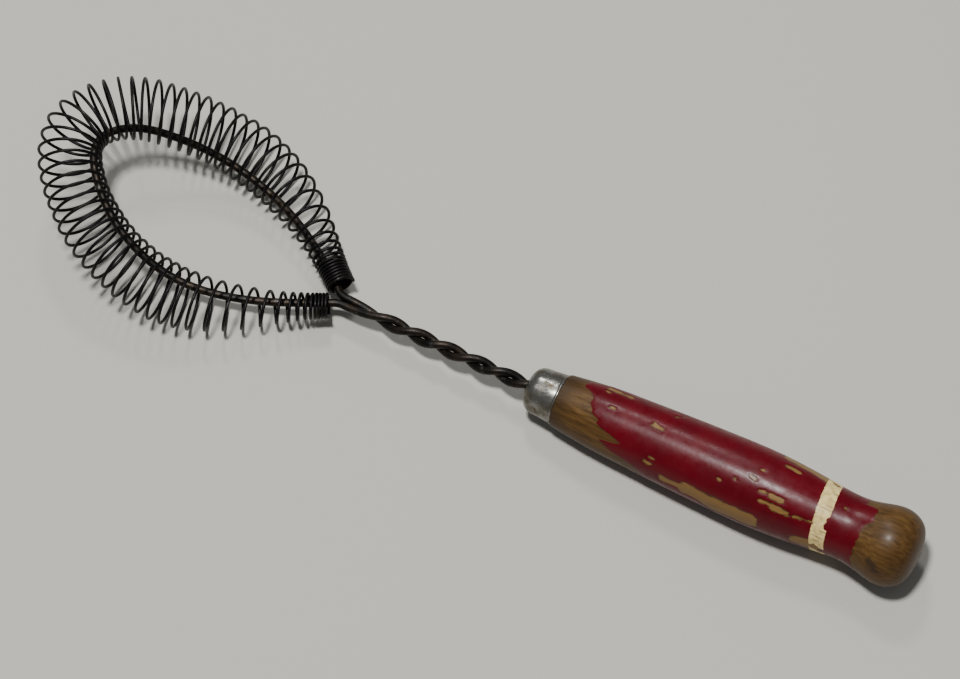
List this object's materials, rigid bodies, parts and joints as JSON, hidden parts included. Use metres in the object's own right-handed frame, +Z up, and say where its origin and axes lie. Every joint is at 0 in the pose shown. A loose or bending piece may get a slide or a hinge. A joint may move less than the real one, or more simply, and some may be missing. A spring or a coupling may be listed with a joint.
{
  "type": "coil whisk",
  "caption": "Hand whisk with a fine wire coil threaded on a teardrop loop of thicker wire, a twisted wire shank, a pressed ferrule and a turned wooden handle.",
  "frame": {"origin": "centre of the bounding box on the plane the whisk rests on", "axes": "+X along the whisk towards the handle's knob, +Y across the loop towards its wider arm, +Z up from the surface it rests on"},
  "size_m": [0.2708, 0.0682, 0.034],
  "materials": {
    "frame_wire": "dark oxidised steel wire, satin, with paler rubbed highlights",
    "coil_wire": "blackened spring steel wire, satin",
    "ferrule": "tarnished plated steel, pitted and blotched",
    "handle": "turned wood in worn gloss red paint with a cream stripe and a bare varnished knob"
  },
  "bodies": {
    "body": {"handle": "handle", "ferrule": "ferrule", "frame_wire": "frame_wire"},
    "coil": {"coil_spring": "coil_wire"}
  },
  "joints": [
    {"name": "coil_swing", "type": "hinge", "parent": "body", "child": "coil", "pos_m": [-0.03935, -0.00302, 0.00697], "axis": [0, -1, 0], "range_deg": [0, 2]}
  ]
}
